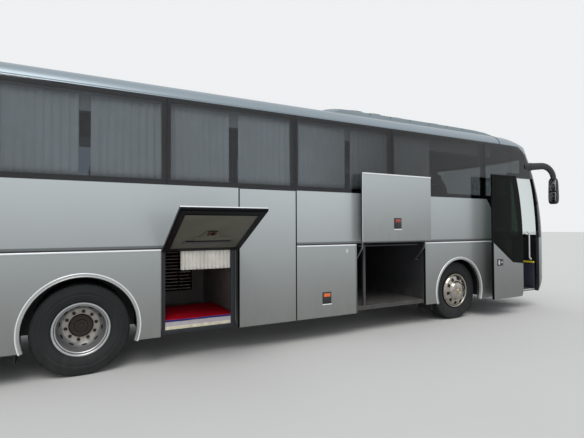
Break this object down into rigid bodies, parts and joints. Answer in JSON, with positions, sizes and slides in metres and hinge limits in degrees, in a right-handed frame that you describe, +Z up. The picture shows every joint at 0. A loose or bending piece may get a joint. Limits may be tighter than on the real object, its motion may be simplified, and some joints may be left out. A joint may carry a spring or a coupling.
{
  "type": "coach bus",
  "caption": "Two-axle touring coach with open front door, driver's rest-cabin hatch and luggage flap, on steered front and twin rear wheels.",
  "frame": {"origin": "centre of the whole outline on the ground, with the hatch open; the coach's own centre plane is at Y = 0.338 m", "axes": "+X forwards, +Y to the coach's left, +Z up"},
  "size_m": [12.0454, 3.8042, 3.8],
  "materials": {
    "body_silver": "silver-grey metallic paint",
    "roof_grey": "light grey paint",
    "side_glass": "dark tinted glass",
    "clear_glass": "clear glass",
    "black_trim": "black paint",
    "black_plastic": "black plastic",
    "black_rubber": "black rubber",
    "tyre_rubber": "tyre rubber",
    "wheel_steel": "silver painted and polished steel",
    "frame_steel": "grey painted steel",
    "axle_iron": "black painted iron",
    "engine_iron": "grey iron",
    "deck": "dark blue floor covering",
    "cabin_lining": "grey lining board",
    "foam": "red mat over foam",
    "curtain_cloth": "pleated curtain",
    "seat_cloth": "woven seat cover",
    "rack_plastic": "light grey plastic",
    "lamp_clear": "clear lamp lens",
    "lamp_red": "red lamp lens",
    "lamp_amber": "amber lamp lens"
  },
  "bodies": {
    "root": {"floor_deck": "deck", "luggage_hold": "frame_steel", "chassis_rails": "axle_iron", "front_grille": "black_plastic", "side_skirts_right": "body_silver", "side_skirts_left": "body_silver", "side_wall_right": "body_silver", "side_wall_left": "body_silver", "side_glass": "side_glass", "roof_panel": "roof_grey", "roof_front_cap": "roof_grey", "front_mask": "body_silver", "front_frame": "black_trim", "windscreen": "clear_glass", "rear_wall": "body_silver", "rear_window": "side_glass", "air_unit": "roof_grey", "stairs": "deck", "sleeping_cabin": "cabin_lining", "cabin_mattress": "foam", "curtains": "curtain_cloth", "dashboard": "black_plastic", "seats": "seat_cloth", "luggage_racks": "rack_plastic", "headlamps": "lamp_clear", "tail_lamps": "lamp_red", "marker_lamps": "lamp_amber", "mirrors": "black_plastic", "wipers": "black_plastic", "mud_flaps": "black_rubber", "wheel_houses": "black_plastic", "front_axle": "axle_iron", "rear_axle": "axle_iron", "engine_block": "engine_iron"},
    "cabin_flap": {"cabin_flap": "body_silver"},
    "engine_flap": {"engine_flap": "body_silver"},
    "front_door_arm": {"front_door_arm": "frame_steel"},
    "front_door": {"front_door_leaf": "body_silver", "front_door_glass": "side_glass"},
    "middle_door_arm": {"middle_door_arm": "frame_steel"},
    "middle_door": {"middle_door_leaf": "body_silver"},
    "knuckle_right": {"knuckle_right": "axle_iron"},
    "front_wheel_right": {"front_tyre_right": "tyre_rubber", "front_rim_right": "wheel_steel"},
    "rear_wheels_right": {"rear_tyres_right": "tyre_rubber", "rear_rims_right": "wheel_steel"},
    "flap_2_right_arms": {"flap_2_right_arms": "frame_steel"},
    "flap_2_right": {"flap_2_right": "body_silver"},
    "flap_3_right_arms": {"flap_3_right_arms": "frame_steel"},
    "flap_3_right": {"flap_3_right": "body_silver"},
    "knuckle_left": {"knuckle_left": "axle_iron"},
    "front_wheel_left": {"front_tyre_left": "tyre_rubber", "front_rim_left": "wheel_steel"},
    "rear_wheels_left": {"rear_tyres_left": "tyre_rubber", "rear_rims_left": "wheel_steel"},
    "flap_2_left_arms": {"flap_2_left_arms": "frame_steel"},
    "flap_2_left": {"flap_2_left": "body_silver"},
    "flap_3_left_arms": {"flap_3_left_arms": "frame_steel"},
    "flap_3_left": {"flap_3_left": "body_silver"}
  },
  "joints": [
    {"name": "steer_right", "type": "hinge", "parent": "root", "child": "knuckle_right", "pos_m": [3.2, -0.52954, 0.515], "axis": [0, 0, 1], "range_deg": [-42, 42]},
    {"name": "roll_front_right", "type": "hinge", "parent": "knuckle_right", "child": "front_wheel_right", "pos_m": [3.2, -0.69154, 0.515], "axis": [0, 1, 0], "continuous": true},
    {"name": "roll_rear_right", "type": "hinge", "parent": "root", "child": "rear_wheels_right", "pos_m": [-2.86, -0.57154, 0.515], "axis": [0, 1, 0], "continuous": true},
    {"name": "steer_left", "type": "hinge", "parent": "root", "child": "knuckle_left", "pos_m": [3.2, 1.20646, 0.515], "axis": [0, 0, 1], "range_deg": [-42, 42]},
    {"name": "roll_front_left", "type": "hinge", "parent": "knuckle_left", "child": "front_wheel_left", "pos_m": [3.2, 1.36846, 0.515], "axis": [0, 1, 0], "continuous": true},
    {"name": "roll_rear_left", "type": "hinge", "parent": "root", "child": "rear_wheels_left", "pos_m": [-2.86, 1.24846, 0.515], "axis": [0, 1, 0], "continuous": true},
    {"name": "flap_2_right_lift", "type": "hinge", "parent": "root", "child": "flap_2_right_arms", "pos_m": [0.3875, -0.76582, 1.1], "axis": [-1, 0, 0], "range_deg": [0, 145.7]},
    {"name": "flap_2_right_level", "type": "hinge", "parent": "flap_2_right_arms", "child": "flap_2_right", "pos_m": [0.3875, -0.86654, 0.52881], "axis": [-1, 0, 0], "range_deg": [-145.7, 0]},
    {"name": "flap_3_right_lift", "type": "hinge", "parent": "root", "child": "flap_3_right_arms", "pos_m": [1.645, -0.76582, 1.1], "axis": [-1, 0, 0], "range_deg": [-145.7, 0]},
    {"name": "flap_3_right_level", "type": "hinge", "parent": "flap_3_right_arms", "child": "flap_3_right", "pos_m": [1.645, -1.0045, 1.62861], "axis": [-1, 0, 0], "range_deg": [0, 145.7]},
    {"name": "flap_2_left_lift", "type": "hinge", "parent": "root", "child": "flap_2_left_arms", "pos_m": [0.3875, 1.44274, 1.1], "axis": [1, 0, 0], "range_deg": [0, 145.7]},
    {"name": "flap_2_left_level", "type": "hinge", "parent": "flap_2_left_arms", "child": "flap_2_left", "pos_m": [0.3875, 1.54346, 0.52881], "axis": [1, 0, 0], "range_deg": [-145.7, 0]},
    {"name": "flap_3_left_lift", "type": "hinge", "parent": "root", "child": "flap_3_left_arms", "pos_m": [1.645, 1.44274, 1.1], "axis": [1, 0, 0], "range_deg": [0, 145.7]},
    {"name": "flap_3_left_level", "type": "hinge", "parent": "flap_3_left_arms", "child": "flap_3_left", "pos_m": [1.645, 1.54346, 0.52881], "axis": [1, 0, 0], "range_deg": [-145.7, 0]},
    {"name": "cabin_flap_hinge", "type": "hinge", "parent": "root", "child": "cabin_flap", "pos_m": [-1.5085, -0.94454, 1.408], "axis": [-1, 0, 0], "range_deg": [-117, 0]},
    {"name": "engine_flap_hinge", "type": "hinge", "parent": "root", "child": "engine_flap", "pos_m": [-6.008, 0.33846, 1.796], "axis": [0, 1, 0], "range_deg": [0, 80]},
    {"name": "front_door_swing", "type": "hinge", "parent": "root", "child": "front_door_arm", "pos_m": [4.74, -0.79154, 1.5], "axis": [0, 0, -1], "range_deg": [-150, 0]},
    {"name": "front_door_level", "type": "hinge", "parent": "front_door_arm", "child": "front_door", "pos_m": [4.33297, -1.02654, 1.5], "axis": [0, 0, -1], "range_deg": [0, 150]},
    {"name": "middle_door_swing", "type": "hinge", "parent": "root", "child": "middle_door_arm", "pos_m": [-0.184, -0.79154, 1.5], "axis": [0, 0, 1], "range_deg": [0, 150]},
    {"name": "middle_door_level", "type": "hinge", "parent": "middle_door_arm", "child": "middle_door", "pos_m": [-0.654, -0.79154, 1.5], "axis": [0, 0, 1], "range_deg": [-150, 0]}
  ],
  "couplings": [
    {"joint": "steer_left", "follows": "steer_right", "ratio": 1},
    {"joint": "flap_2_right_level", "follows": "flap_2_right_lift", "ratio": -1},
    {"joint": "flap_3_right_level", "follows": "flap_3_right_lift", "ratio": -1},
    {"joint": "flap_2_left_level", "follows": "flap_2_left_lift", "ratio": -1},
    {"joint": "flap_3_left_level", "follows": "flap_3_left_lift", "ratio": -1},
    {"joint": "front_door_level", "follows": "front_door_swing", "ratio": -1},
    {"joint": "middle_door_level", "follows": "middle_door_swing", "ratio": -1}
  ]
}
